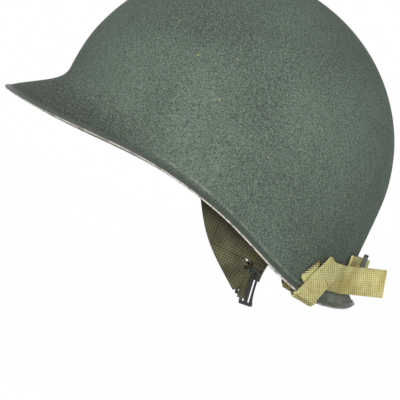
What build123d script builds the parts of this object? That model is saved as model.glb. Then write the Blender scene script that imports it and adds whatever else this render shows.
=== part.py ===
from build123d import *
import os
from math import acos, cos, hypot, radians, sin

# A steel pot helmet with its fibre liner. Front is -X, the wearer's left is -Y, up is +Z. The
# origin is the middle of the head opening, level with the lowest stretch of the rear rim.
# Angles run round the helmet from the rear: 0 is the rear, 90 the right side, 180 the visor
# and -90 the left side.

# Steel shell
shell_wall = 1.1
front_reach = 113.0
rear_reach = 118.0
half_width = 110.0
widest_height = 77.0
dome_rise = 114.0

# Visor and flared rim
visor_height = 55.5
visor_reach = 36.0
visor_drop = 19.0
visor_droop = 2.5
visor_lead = 10.0
rear_lean = 5.0
shoulder_share = 0.4
bulge_share = 0.6
fold_share = 0.1
rim_height_shares = (
    (0, 0.12), (20, 0.045), (38, 0.0), (50, 0.06), (62, 0.22), (75, 0.445),
    (85, 0.59), (98, 0.73), (113, 0.82), (145, 0.89), (180, 1.0),
)
flare_shares = ((0, 0.2), (45, 0.21), (90, 0.235), (120, 0.31), (140, 0.53), (160, 0.86), (180, 1.0))
drop_shares = ((0, 0.5), (90, 0.38), (120, 0.5), (150, 0.82), (180, 1.0))
lean_shares = ((0, 1.0), (45, 0.6), (90, 0.0), (180, 0.0))
front_shares = ((0, 0.0), (110, 0.0), (180, 1.0))

# Rim edging
edging_wall = 0.5
edging_leg = 2.2
seat_gap = 0.1

# Fibre liner
liner_wall = 2.2
liner_gap = 1.5
liner_side_ease = 2.0
liner_reach_shares = ((0, 0.3), (60, 0.3), (100, 0.45), (140, 0.75), (180, 0.88))

# Webbing
webbing_width = 19.0
webbing_wall = 1.6
soft_gap = 0.3

# Bails for the chin strap
bail_angle = 43.0
bail_wire = 2.0
bail_corner_share = 1.5
bail_height = 12.0
bail_spare = 1.0
bail_above_rim = 8.5

# Chin straps: up over the rim to a top edge, then round the back
strap_rim_angle = 45.0
strap_top_angle = 33.0
strap_top_height = 27.0
strap_top_tilt = 20.0
strap_stand_off = 3.8
strap_band_height = 19.0
strap_end_reach = 25.0
strap_end_rise = 7.5
strap_end_side = 24.0
strap_back_height = 28.0
strap_back_dip = 3.5
strap_back_stand_off = 2.6
wrap_turns = (180.0, 140.0, 100.0, 60.0, 20.0)
climb_shares = (0.3, 0.65, 1.0)
band_shares = (0.35, 0.7, 1.0)
band_turn_share = 0.75
band_tuck_share = 0.8
before_buckle_shares = ((38, 2.3, 3.8), (31, 1.0, 2.4), (22, 0.3, 1.3), (14, 0.0, 1.0))
after_buckle_shares = ((-14, 0.2, 1.0), (-21, 0.3, 0.8))
weave_reach_share = 1.3
weave_bar_share = 0.6

# Chin strap buckle
buckle_angle = -2.0
buckle_length = 25.0
buckle_breadth = 20.0
buckle_bar = 2.2
buckle_ease = 0.7
buckle_wall = 2.8

# Suspension band and crown webs
band_height = 70.0
band_slope_share = 0.12
leg_count = 6
crown_ring_radius = 27.0
crown_drop = 30.0
leg_width_share = 0.75
leg_shares = (0.2, 0.4, 0.6, 0.8)
leg_bow_share = 0.8
lace_radius = 1.3
loop_turn = 30.0

# Rivets and washers
rivet_radius = 1.6
rivet_head_radius = 4.0
rivet_head_height = 0.8
rivet_taper = 30.0
rivet_tail_share = 0.8
overrun = 4.0
rivet_seat = 0.25
washer_size = 15.0
washer_corner = 3.0
washer_wall = 0.8
running_gap = 0.1

# Sweatband
sweatband_width = 28.0
sweatband_wall = 1.4
sweatband_stand_off = 7.0
sweatband_lead = 3.0
clip_width = 12.0
clip_wall = 0.8
clip_height = 17.0

# Nape strap
nape_height = 36.0
nape_angle = 42.0
nape_rivet_share = 0.9
nape_shares = (-1, -0.85, -0.6, -0.3, 0, 0.3, 0.6, 0.85, 1)
nape_stand_off = 12.0

# Yokes
clip_angles = (0.0, -72.0, 72.0, -120.0, 120.0, 180.0)
yoke_front_angle = 88.0
yoke_rear_angle = 56.0
yoke_rivet_height = 53.5
yoke_fold_height = 46.5
yoke_drop = 54.0
yoke_end_shares = (1 / 3, -1 / 4)
yoke_stand_off = 3.6
front_leg_shares = ((0.03, 0.0), (0.14, 0.22), (0.27, 0.45), (0.44, 0.66), (0.62, 0.84), (0.78, 1.0))
rear_leg_shares = ((0.98, 0.0), (0.94, 0.3), (0.9, 0.55), (0.87, 0.9))
cross_leg_shares = ((0.27, 0.5), (0.94, 0.54))
front_leg_width_shares = (0.92, 0.92, 0.92, 0.92, 0.88, 0.8)
rear_leg_width_shares = (1.0, 0.8, 0.55, 0.42)
sleeve_share = 0.9

# Yoke buckle
yoke_buckle_length = 24.5
yoke_buckle_bar = 2.2
yoke_buckle_slot = 2.2
yoke_buckle_wall = 1.6
yoke_notch_radius = 4.0
yoke_buckle_waist = 1.4
yoke_buckle_turn = 55.0
yoke_buckle_lean = 6.0

# Front eyelet
eyelet_height = 112.0
eyelet_radius = 2.6
eyelet_flange = 5.0
eyelet_wall = 0.6

# Curve resolution, in points per ring and rings per surface
ring_points = 36
dome_stations = (0.08, 0.2, 0.35, 0.5, 0.65, 0.8, 0.92, 1.0)
skirt_stations = (1.15, 1.3, 1.45, 1.6, 1.75, 1.88, 2.0)
nudge = 0.0005
turn_nudge = 0.05
walk_steps = 12
halvings = 40


def blend(angle, shares):
    """A smooth curve through the given shares, alike on the left and the right."""
    turn = abs((angle + 180.0) % 360.0 - 180.0)
    last = len(shares) - 1
    i = next(k for k in range(last) if turn <= shares[k + 1][0] or k == last - 1)

    def slope(k):
        if k in (0, last):
            return 0.0
        return (shares[k + 1][1] - shares[k - 1][1]) / (shares[k + 1][0] - shares[k - 1][0])

    span = shares[i + 1][0] - shares[i][0]
    t = (turn - shares[i][0]) / span
    return (
        (2 * t**3 - 3 * t**2 + 1) * shares[i][1]
        + (t**3 - 2 * t**2 + t) * span * slope(i)
        + (3 * t**2 - 2 * t**3) * shares[i + 1][1]
        + (t**3 - t**2) * span * slope(i + 1)
    )


def mix(a, b, share):
    return tuple(p + (q - p) * share for p, q in zip(a, b))


def skirt(angle, t, reach_share):
    """How far out from the dome's widest line and how high the skirt is, from shoulder to rim."""
    lead = visor_lead * blend(angle, front_shares)
    turn = acos(lead / dome_rise)
    dome_reach = rear_reach if cos(radians(angle)) > 0 else front_reach
    shoulder = (dome_reach * (sin(turn) - 1.0), widest_height + lead)
    rim = (visor_reach * blend(angle, flare_shares), visor_height * blend(angle, rim_height_shares))
    fold = (-rear_lean * blend(angle, lean_shares), rim[1] + visor_drop * blend(angle, drop_shares))
    rim = mix(fold, rim, reach_share)
    depth = shoulder[1] - fold[1]
    down = (shoulder[0] + shoulder_share * depth * cos(turn), shoulder[1] - shoulder_share * depth)
    bulge = mix(fold, rim, bulge_share)
    bulge = (bulge[0], bulge[1] + visor_droop * blend(angle, front_shares) * reach_share)
    points = (shoulder, down, mix(fold, shoulder, fold_share), mix(fold, rim, fold_share), bulge, rim)
    weights = [
        binomial * (1 - t) ** (5 - k) * t**k for k, binomial in enumerate((1, 5, 10, 10, 5, 1))
    ]
    return tuple(sum(w * p[axis] for w, p in zip(weights, points)) for axis in (0, 1))


def base(angle, station, reach_share, ease):
    """A place on the helmet's surface: stations 0 to 1 are the dome, 1 to 2 the skirt."""
    a = radians(angle)
    reach = rear_reach if cos(a) > 0 else front_reach
    width = half_width - ease
    out_x, out_y = cos(a) / reach, sin(a) / width
    size = hypot(out_x, out_y)
    if station <= 1.0:
        turn = station * acos(visor_lead * blend(angle, front_shares) / dome_rise)
        radius = sin(turn)
        return Vector(
            reach * cos(a) * radius, width * sin(a) * radius, widest_height + dome_rise * cos(turn)
        )
    out, height = skirt(angle, station - 1.0, reach_share)
    return Vector(reach * cos(a) + out * out_x / size, width * sin(a) + out * out_y / size, height)


class Skin:
    """One moulded or pressed surface, with places on it and beside it."""

    def __init__(self, offset, reach_shares, ease):
        self.offset = offset
        self.reach_shares = reach_shares
        self.ease = ease

    def on(self, angle, station):
        return base(angle, station, blend(angle, self.reach_shares), self.ease)

    def normal(self, angle, station):
        if station < nudge:
            return Vector(0, 0, 1)
        round_it = self.on(angle + turn_nudge, station) - self.on(angle - turn_nudge, station)
        down_it = self.on(angle, station + nudge) - self.on(angle, station - nudge)
        across = down_it.cross(round_it).normalized()
        return across if across.dot(self.on(angle, station)) > 0 else across * -1

    def at(self, angle, station, offset=0.0):
        return self.on(angle, station) + self.normal(angle, station) * (self.offset + offset)

    def above_rim(self, angle, distance, offset=0.0):
        """The place that far above the rim, measured along the surface."""
        station = skirt_stations[-1]
        for _ in range(walk_steps):
            ahead = self.on(angle, station + 2 * nudge) - self.on(angle, station - 2 * nudge)
            station -= distance / walk_steps * 4 * nudge / ahead.length
        return self.at(angle, station, offset)

    def station(self, angle, height, offset):
        low, high = 0.0, skirt_stations[-1]
        for _ in range(halvings):
            middle = (low + high) / 2
            if self.at(angle, middle, offset).Z > height:
                low = middle
            else:
                high = middle
        return low

    def at_height(self, angle, height, offset=0.0):
        """The place at that height, found between the crown and the rim."""
        return self.at(angle, self.station(angle, height, offset), offset)

    def out(self, angle, height):
        """The outward direction at that height."""
        return self.normal(angle, self.station(angle, height, 0.0))


def ring(place):
    """A smooth closed curve through place(angle), all the way round."""
    points = [place(360.0 * i / ring_points) for i in range(ring_points)]
    return Wire([Edge.make_spline(points, periodic=True)])


def hoop(*places):
    """A solid ring whose section's corners follow the given places."""
    rings = [ring(place) for place in places]
    walls = []
    for here, there in zip(rings, rings[1:] + rings[:1]):
        walls += Shell.make_loft([here, there], ruled=True).faces()
    return Solid(Shell(walls))


def bowl(skin, wall):
    """A bowl of even wall from the crown to the rim, its outer face on the skin."""
    def surface(offset):
        stations = dome_stations + skirt_stations
        rings = [ring(lambda angle, s=s: skin.at(angle, s, offset)) for s in stations]
        return Shell.make_loft([Vertex(*skin.at(0, 0, offset))] + rings).faces()

    edges = [ring(lambda angle, o=o: skin.at(angle, skirt_stations[-1], o)) for o in (0.0, -wall)]
    lip = Shell.make_loft(edges, ruled=True).faces()
    return Solid(Shell(surface(0.0) + surface(-wall) + lip))


def square_sides(centres, faces):
    """Directions across a strap, square to its run and its faces."""
    sides = []
    for i, face in enumerate(faces):
        run = centres[min(i + 1, len(centres) - 1)] - centres[max(i - 1, 0)]
        sides.append(face.cross(run).normalized())
    return sides


def ribbon(centres, sides, faces, width):
    """A stretch of flat webbing along the centres, with its side and face given at each."""
    with BuildPart() as strap:
        for centre, side, face in zip(centres, sides, faces):
            with BuildSketch(Plane(origin=centre, x_dir=side, z_dir=side.cross(face))):
                Rectangle(width, webbing_wall)
        loft(ruled=True)
    return strap.part


def webbing_loop(plane, bar_radius, length):
    """Webbing sewn round a bar that runs along the plane's Z."""
    with BuildPart() as loop:
        with BuildSketch(plane):
            Circle(bar_radius + running_gap + webbing_wall)
            Circle(bar_radius + running_gap, mode=Mode.SUBTRACT)
        extrude(amount=length / 2, both=True)
    return loop.part


whole = ((0, 1.0), (180, 1.0))
steel = Skin(0.0, whole, 0.0)
liner_outer = Skin(-shell_wall - liner_gap, liner_reach_shares, liner_side_ease)
liner_inner = Skin(-shell_wall - liner_gap - liner_wall, liner_reach_shares, liner_side_ease)
os.makedirs("parts", exist_ok=True)

# Steel shell: one pressing with a visor and a flared rim
with BuildPart() as steel_shell:
    add(bowl(steel, shell_wall))

# Rim edging: a folded strip that closes the shell's raw edge
edging_out = seat_gap + edging_wall


def rim_place(distance, offset):
    return lambda angle: steel.above_rim(angle, distance, offset)


with BuildPart() as rim_edging:
    add(
        hoop(
            rim_place(edging_leg, edging_out),
            rim_place(edging_leg / 2, edging_out),
            rim_place(-edging_out, edging_out),
            rim_place(-edging_out, -shell_wall - edging_out),
            rim_place(edging_leg / 2, -shell_wall - edging_out),
            rim_place(edging_leg, -shell_wall - edging_out),
            rim_place(edging_leg, -shell_wall - seat_gap),
            rim_place(edging_leg / 2, -shell_wall - seat_gap),
            rim_place(-seat_gap, -shell_wall - seat_gap),
            rim_place(-seat_gap, seat_gap),
            rim_place(edging_leg / 2, seat_gap),
            rim_place(edging_leg, seat_gap),
        )
    )

# Bails: a welded wire loop inside the rim on each side, that a chin strap is sewn round
bail_width = webbing_width + 2 * bail_spare + 2 * bail_wire
bail_sag = bail_width**2 / (8 * half_width)
strap_round_wire = webbing_wall + running_gap
upper_bar = steel.above_rim(
    -bail_angle,
    bail_above_rim + bail_height / 2,
    -shell_wall - 2 * bail_sag - seat_gap - bail_wire / 2,
)
lower_bar = steel.above_rim(
    -bail_angle,
    bail_above_rim - bail_height / 2,
    -shell_wall - edging_out - soft_gap - strap_round_wire - bail_wire / 2,
)
rim_run = steel.above_rim(1 - bail_angle, 0) - steel.above_rim(-1 - bail_angle, 0)
rim_run = rim_run.normalized()
bail_up = (upper_bar - lower_bar).normalized()
bail_plane = Plane(
    origin=(upper_bar + lower_bar) * 0.5, x_dir=rim_run, z_dir=rim_run.cross(bail_up).normalized()
)
bar_reach = (upper_bar - lower_bar).length / 2
loop_plane = Plane(origin=lower_bar, x_dir=bail_plane.z_dir, z_dir=rim_run)

with BuildPart() as left_bail:
    with BuildSketch(bail_plane):
        RectangleRounded(bail_width, 2 * bar_reach + bail_wire, bail_corner_share * bail_wire)
        RectangleRounded(
            bail_width - 2 * bail_wire, 2 * bar_reach - bail_wire, bail_wire / 2, mode=Mode.SUBTRACT
        )
    extrude(amount=bail_wire / 2, both=True)
    with BuildSketch(bail_plane):
        with Locations((0, -bar_reach)):
            Rectangle(bail_width - 2 * bail_wire, 2 * bail_wire)
    extrude(amount=bail_wire, both=True, mode=Mode.SUBTRACT)
    with BuildSketch(loop_plane):
        Circle(bail_wire / 2)
    extrude(amount=(bail_width - bail_wire) / 2, both=True)
with BuildPart() as right_bail:
    mirror(left_bail.part, about=Plane.XZ)

# Chin straps: each is sewn round its bail, passes under the rim and climbs the outside
wrap_radius = shell_wall / 2 + edging_out + soft_gap + webbing_wall / 2
strap_top = steel.at_height(-strap_top_angle, strap_top_height, strap_stand_off)
top_face = steel.out(-strap_top_angle, strap_top_height)
top_level = Vector(-top_face.Y, top_face.X, 0).normalized()
top_side = top_level * cos(radians(strap_top_tilt)) - Vector(0, 0, 1) * sin(radians(strap_top_tilt))

rim_middle = steel.above_rim(-strap_rim_angle, 0.0, -shell_wall / 2)
rim_out = steel.above_rim(-strap_rim_angle, 0.0, shell_wall) - steel.above_rim(-strap_rim_angle, 0.0)
rim_side = steel.above_rim(1 - strap_rim_angle, 0) - steel.above_rim(-1 - strap_rim_angle, 0)
rim_out, rim_side = rim_out.normalized(), rim_side.normalized()
rim_down = rim_side.cross(rim_out) * (-1 if rim_side.cross(rim_out).Z > 0 else 1)
wrap_faces = [
    rim_out * cos(radians(turn)) + rim_down * sin(radians(turn)) for turn in wrap_turns
]
wrap_centres = [rim_middle + face * wrap_radius for face in wrap_faces]
wrap_sides = [rim_side] * len(wrap_faces)

# The strap reaches the wrap from beside the bail's lower bar, on the shell's side of it
bar_out = (rim_middle - lower_bar).dot(bail_plane.z_dir)
bar_face = bail_plane.z_dir * (1 if bar_out > 0 else -1)
bar_side = lower_bar + bar_face * (bail_wire / 2 + running_gap + webbing_wall / 2)
bail_loop = webbing_loop(loop_plane, bail_wire / 2, webbing_width)

climb_centres, climb_sides, climb_faces = [], [], []
for share in climb_shares:
    climb_centres.append(wrap_centres[-1] + (strap_top - wrap_centres[-1]) * share)
    climb_sides.append((rim_side + (top_side - rim_side) * share).normalized())
    climb_faces.append((wrap_faces[-1] + (top_face - wrap_faces[-1]) * share).normalized())

# The left strap's running end comes out from behind its climb and stands off rearwards
strap_end = Vector(
    rear_reach + strap_end_reach - rear_lean, -strap_end_side, strap_band_height + strap_end_rise
)
band_rear = steel.at_height(-strap_top_angle * band_turn_share, strap_band_height, strap_stand_off)
band_root = climb_centres[1] - climb_faces[1] * webbing_wall * band_tuck_share
band_centres = [band_root, band_rear]
for share in band_shares:
    bow = Vector(0, 1, 0) * (strap_stand_off * 4 * share * (1 - share))
    band_centres.append(band_rear + (strap_end - band_rear) * share + bow)
band_runs = [b - a for a, b in zip(band_centres, band_centres[1:])]
band_runs.append(band_runs[-1])
band_faces = [Vector(run.Y, -run.X, 0).normalized() for run in band_runs]

climb_part = ribbon(
    [bar_side] + wrap_centres + climb_centres,
    [rim_run] + wrap_sides + climb_sides,
    [bar_face * -1] + wrap_faces + climb_faces,
    webbing_width,
)
band_part = ribbon(
    band_centres, square_sides(band_centres, band_faces), band_faces, webbing_width
)
with BuildPart() as left_chinstrap:
    add(climb_part)
    add(band_part)
    add(bail_loop)

# The right strap goes on round the back and through the buckle
buckle_out = steel.out(buckle_angle, strap_back_height)
buckle_stand_off = strap_back_stand_off + webbing_wall / 2 + buckle_ease + buckle_wall / 2
buckle_over = buckle_stand_off + buckle_wall / 2 + buckle_ease + webbing_wall / 2
buckle_at = steel.at_height(buckle_angle, strap_back_height, buckle_stand_off)
buckle_plane = Plane(
    origin=buckle_at, x_dir=Vector(-buckle_out.Y, buckle_out.X, 0), z_dir=buckle_out
)
buckle_half = buckle_breadth / 2
weave = (
    (weave_reach_share * buckle_half, strap_back_stand_off),
    (buckle_half - buckle_bar, strap_back_stand_off),
    (weave_bar_share * buckle_bar, buckle_over),
    (-weave_bar_share * buckle_bar, buckle_over),
    (buckle_bar - buckle_half, strap_back_stand_off),
    (-weave_reach_share * buckle_half, strap_back_stand_off),
)


def mirrored(vectors):
    return [Vector(v.X, -v.Y, v.Z) for v in vectors]


def back_place(angle, dip_share, stand_off_share):
    height = strap_back_height - strap_back_dip * dip_share
    return steel.at_height(angle, height, strap_back_stand_off * stand_off_share)


back = [back_place(*place) for place in before_buckle_shares]
back += [buckle_plane.from_local_coords(Vector(x, 0, lift - buckle_stand_off)) for x, lift in weave]
back += [back_place(*place) for place in after_buckle_shares]
back_runs = [b - a for a, b in zip(back, back[1:])] + [back[-1] - back[-2]]
back_faces = [Vector(-run.Y, run.X, 0).normalized() for run in back_runs]
round_part = ribbon(
    mirrored([bar_side] + wrap_centres) + back,
    mirrored([rim_run] + wrap_sides) + square_sides(back, back_faces),
    mirrored([bar_face * -1] + wrap_faces) + back_faces,
    webbing_width,
)
with BuildPart() as right_chinstrap:
    add(round_part)
    mirror(bail_loop, about=Plane.XZ)

with BuildPart() as chinstrap_buckle:
    with BuildSketch(buckle_plane):
        RectangleRounded(buckle_breadth, buckle_length, buckle_bar)
        with Locations((buckle_bar / 4 - buckle_half / 2, 0), (buckle_half / 2 - buckle_bar / 4, 0)):
            Rectangle(buckle_half - 1.5 * buckle_bar, buckle_length - 2 * buckle_bar, mode=Mode.SUBTRACT)
    extrude(amount=buckle_wall / 2, both=True)

# Fibre liner, nested inside the shell, with holes for its rivets and its eyelet
leg_angles = [360.0 * (i + 0.5) / leg_count for i in range(leg_count)]
yoke_angles = (-yoke_front_angle, -yoke_rear_angle)
nape_rivet_angles = (-nape_angle * nape_rivet_share, nape_angle * nape_rivet_share)

# Flat webbing needs this much room on the curved wall behind it
flat_ease = webbing_width**2 / (8 * half_width)


def band_low(angle):
    """The suspension band's lower edge, higher at the brow than at the nape."""
    reach = rear_reach if cos(radians(angle)) > 0 else front_reach
    return band_height - band_slope_share * reach * cos(radians(angle))


def outer_plane(angle, height):
    """A plane that lies on the liner's outer face and looks out."""
    return Plane(
        origin=liner_outer.at_height(angle, height), z_dir=liner_outer.out(angle, height)
    )


def rivet(plane, length):
    """A low tapered head outside the liner, a shank and a smaller head inside."""
    with BuildPart() as one:
        with BuildSketch(plane.offset(rivet_seat)):
            Circle(rivet_head_radius)
        extrude(amount=rivet_head_height, taper=rivet_taper)
        with BuildSketch(plane.offset(rivet_seat - length)):
            Circle(rivet_radius)
        extrude(amount=length)
        with BuildSketch(plane.offset(rivet_seat - length - rivet_head_height)):
            Circle(rivet_head_radius * rivet_tail_share)
        extrude(amount=rivet_head_height)
    return one.part


def drill(plane, radius):
    """What a drill of that radius cuts through the liner and the two webbings behind it."""
    depth = liner_wall + 2 * (soft_gap + webbing_wall + flat_ease)
    with BuildPart() as one:
        with BuildSketch(plane.offset(overrun)):
            Circle(radius)
        extrude(amount=-depth - 2 * overrun)
    return one.part


band_planes = [outer_plane(turn, band_low(turn) + webbing_width / 2) for turn in leg_angles]
yoke_rivet_planes = [outer_plane(turn, yoke_rivet_height) for turn in yoke_angles]
nape_planes = [outer_plane(turn, nape_height) for turn in nape_rivet_angles]
eyelet_plane = outer_plane(180, eyelet_height)
band_drills = [drill(plane, rivet_radius + running_gap) for plane in band_planes]
yoke_drills = [drill(plane, rivet_radius + running_gap) for plane in yoke_rivet_planes]
nape_drills = [drill(plane, rivet_radius + running_gap) for plane in nape_planes]
eyelet_drill = drill(eyelet_plane, eyelet_radius + eyelet_wall + running_gap)

with BuildPart() as liner_shell:
    add(bowl(liner_outer, liner_wall))
    add(band_drills + yoke_drills + nape_drills + [eyelet_drill], mode=Mode.SUBTRACT)
    add([cut.mirror(Plane.XZ) for cut in yoke_drills], mode=Mode.SUBTRACT)

# Front eyelet: a flanged grommet through the liner's front
with BuildPart() as front_eyelet:
    with BuildSketch(eyelet_plane.offset(seat_gap)):
        Circle(eyelet_flange)
    extrude(amount=eyelet_wall)
    with BuildSketch(eyelet_plane.offset(seat_gap)):
        Circle(eyelet_radius + eyelet_wall)
    extrude(amount=-liner_wall - 2 * seat_gap)
    with BuildSketch(eyelet_plane.offset(-liner_wall - seat_gap)):
        Circle(eyelet_flange)
    extrude(amount=-eyelet_wall)
    with BuildSketch(eyelet_plane.offset(overrun)):
        Circle(eyelet_radius)
    extrude(amount=-liner_wall - 2 * overrun, mode=Mode.SUBTRACT)


# Suspension band: webbing all the way round
def inner_place(lift, offset):
    return lambda angle: liner_inner.at_height(angle, band_low(angle) + lift, -offset)


def inner_hoop(low, width, near, wall):
    """A strip round the inside, from low above the band's edge, that far from the liner."""
    lifts = (low, low + width / 2, low + width)
    far = near + wall
    return hoop(
        *[inner_place(lift, near) for lift in lifts],
        *[inner_place(lift, far) for lift in reversed(lifts)],
    )


band_far = soft_gap + webbing_wall
with BuildPart() as suspension_band:
    add(inner_hoop(0.0, webbing_width, soft_gap, webbing_wall))
    add(band_drills, mode=Mode.SUBTRACT)

# Crown webs: each leg starts behind a washer and ends in a loop round the crown lace
leg_width = webbing_width * leg_width_share
leg_middle = band_far + rivet_seat + flat_ease + webbing_wall / 2
crown_ring_height = liner_inner.at(0, 0).Z - crown_drop
lace_loop = lace_radius + running_gap + webbing_wall


def crown_leg(angle):
    """From behind the washer up along the liner's wall, then in to the crown ring."""
    out = Vector(cos(radians(angle)), sin(radians(angle)), 0)
    side = Vector(-out.Y, out.X, 0)
    low, high = band_low(angle), band_low(angle) + webbing_width
    centres = [liner_inner.at_height(angle, height, -leg_middle) for height in (low, high)]
    end = out * (crown_ring_radius + lace_loop - webbing_wall / 2)
    end = end + Vector(0, 0, crown_ring_height)
    for share in leg_shares:
        height = high + (end.Z - high) * sin(radians(90 * share))
        stand_off = leg_middle + (crown_drop - leg_middle) * share**2 * leg_bow_share
        centres.append(liner_inner.at_height(angle, height, -stand_off))
    centres.append(end)
    runs = [b - a for a, b in zip(centres, centres[1:])]
    faces = [side.cross(run).normalized() for run in runs + [runs[-1]]]
    return ribbon(centres, [side] * len(centres), faces, leg_width)


def crown_loop(angle):
    """Webbing turned over the lace, where a leg ends."""
    start = Plane.XZ.rotated((0, 0, angle - loop_turn / 2))
    with BuildPart() as loop:
        with BuildSketch(start):
            with Locations((crown_ring_radius, crown_ring_height)):
                Circle(lace_loop)
                Circle(lace_radius + running_gap, mode=Mode.SUBTRACT)
        revolve(axis=Axis.Z, revolution_arc=loop_turn)
    return loop.part


crown_legs = [crown_leg(angle) for angle in leg_angles]
crown_loops = [crown_loop(angle) for angle in leg_angles]
with BuildPart() as crown_lace:
    with BuildSketch(Plane.XZ):
        with Locations((crown_ring_radius, crown_ring_height)):
            Circle(lace_radius)
    revolve(axis=Axis.Z)
with BuildPart() as lace_room:
    with BuildSketch(Plane.XZ):
        with Locations((crown_ring_radius, crown_ring_height)):
            Circle(lace_radius + running_gap)
    revolve(axis=Axis.Z)
with BuildPart() as crown_webs:
    add(crown_legs + crown_loops)
    add(band_drills, mode=Mode.SUBTRACT)
    add(lace_room.part, mode=Mode.SUBTRACT)

# Band rivets and the washers behind them
band_stack = liner_wall + leg_middle + webbing_wall / 2 + flat_ease
band_rivet_parts = [
    rivet(plane, band_stack + soft_gap + washer_wall + 2 * rivet_seat) for plane in band_planes
]
with BuildPart() as band_rivets:
    add(band_rivet_parts)
with BuildPart() as band_washers:
    for plane in band_planes:
        with BuildSketch(plane.offset(-band_stack - soft_gap)):
            RectangleRounded(washer_size, washer_size, washer_corner)
            Circle(rivet_radius + running_gap, mode=Mode.SUBTRACT)
        extrude(amount=-washer_wall)

# Sweatband: a leather strip round the head, held by six clips
with BuildPart() as sweatband:
    add(inner_hoop(-sweatband_lead, sweatband_width, sweatband_stand_off, sweatband_wall))

clip_near = band_far + seat_gap + flat_ease
clip_far = sweatband_stand_off - seat_gap - flat_ease
clip_foot = -sweatband_lead - 2 * clip_wall


def clip_plane(angle):
    """Along the liner's wall, with X inward and Y up from the band's lower edge."""
    foot = inner_place(0.0, 0.0)(angle)
    rise = (inner_place(clip_height, 0.0)(angle) - foot).normalized()
    along = (inner_place(0.0, 0.0)(angle + 1) - inner_place(0.0, 0.0)(angle - 1)).normalized()
    along = (along - rise * along.dot(rise)).normalized()
    return Plane(origin=foot, x_dir=rise.cross(along), z_dir=along)


with BuildPart() as sweatband_clips:
    for turn in clip_angles:
        with BuildSketch(clip_plane(turn)):
            with BuildLine():
                Polyline(
                    (clip_near, clip_height),
                    (clip_near, clip_foot),
                    (clip_far, clip_foot),
                    (clip_far, clip_height),
                    (clip_far - clip_wall, clip_height),
                    (clip_far - clip_wall, clip_foot + clip_wall),
                    (clip_near + clip_wall, clip_foot + clip_wall),
                    (clip_near + clip_wall, clip_height),
                    close=True,
                )
            make_face()
        extrude(amount=clip_width / 2, both=True)

# Nape strap across the back, riveted to the liner at each end
strap_seat = soft_gap + flat_ease + webbing_wall


def nape_centre(share):
    angle = nape_angle * share
    stand_off = strap_seat + (nape_stand_off - strap_seat) * cos(radians(90 * share)) ** 2
    return liner_inner.at_height(angle, nape_height, -stand_off)


nape_centres = [nape_centre(share) for share in nape_shares]
nape_runs = [b - a for a, b in zip(nape_centres, nape_centres[1:])]
nape_faces = [Vector(run.Y, -run.X, 0).normalized() for run in nape_runs + [nape_runs[-1]]]
nape_part = ribbon(
    nape_centres, [Vector(0, 0, 1)] * len(nape_centres), nape_faces, webbing_width
)
end_stack = liner_wall + strap_seat + webbing_wall + 2 * rivet_seat
nape_rivet_parts = [rivet(plane, end_stack) for plane in nape_planes]
with BuildPart() as nape_strap:
    add(nape_part)
    add(nape_drills, mode=Mode.SUBTRACT)
with BuildPart() as nape_rivets:
    add(nape_rivet_parts)

# Left yoke: two webbing ends are riveted to the liner and fold along one level line
fold_ends = [
    liner_inner.at_height(angle, yoke_fold_height, -yoke_stand_off) for angle in yoke_angles
]
yoke_run = (fold_ends[1] - fold_ends[0]).normalized()
yoke_out = Vector(yoke_run.Y, -yoke_run.X, 0)
yoke_spread = (fold_ends[1] - fold_ends[0]).length
yoke_plane = Plane(origin=fold_ends[0], x_dir=yoke_run, z_dir=yoke_out)


def yoke_end(angle, fold_end):
    """The riveted end, flat on the liner at the top and square to the fold line below."""
    heights = [yoke_rivet_height + webbing_width * share for share in yoke_end_shares]
    centres = [liner_inner.at_height(angle, height, -strap_seat) for height in heights]
    side = liner_inner.at_height(angle + 1, yoke_rivet_height)
    side = (side - liner_inner.at_height(angle - 1, yoke_rivet_height)).normalized()
    face = liner_inner.out(angle, yoke_rivet_height)
    return ribbon(
        centres + [fold_end + Vector(0, 0, soft_gap)],
        [side, side, yoke_run],
        [face, face, yoke_out],
        webbing_width,
    )


yoke_end_parts = [yoke_end(angle, end) for angle, end in zip(yoke_angles, fold_ends)]
yoke_rivet_parts = [rivet(plane, end_stack) for plane in yoke_rivet_planes]
with BuildPart() as left_yoke_ends:
    add(yoke_end_parts)
    add(yoke_drills, mode=Mode.SUBTRACT)
with BuildPart() as left_yoke_rivets:
    add(yoke_rivet_parts)


def yoke_points(shares):
    return [(yoke_spread * u, -yoke_drop * v) for u, v in shares]


def edges(points, widths):
    """The two long edges of a flat strap along the points."""
    left, right = [], []
    for i, (x, y) in enumerate(points):
        ahead, behind = points[min(i + 1, len(points) - 1)], points[max(i - 1, 0)]
        run = Vector(ahead[0] - behind[0], ahead[1] - behind[1]).normalized()
        left.append((x - run.Y * widths[i] / 2, y + run.X * widths[i] / 2))
        right.append((x + run.Y * widths[i] / 2, y - run.X * widths[i] / 2))
    return left, right


def flat_strap(plane, points, widths):
    """A flat piece of webbing cut to that outline, centred on the plane."""
    left, right = edges(points, widths)
    with BuildPart() as strap:
        with BuildSketch(plane):
            with BuildLine():
                Spline(left)
                Line(left[-1], right[-1])
                Spline(right[::-1])
                Line(right[0], left[0])
            make_face()
        extrude(amount=webbing_wall / 2, both=True)
    return strap.part


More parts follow.
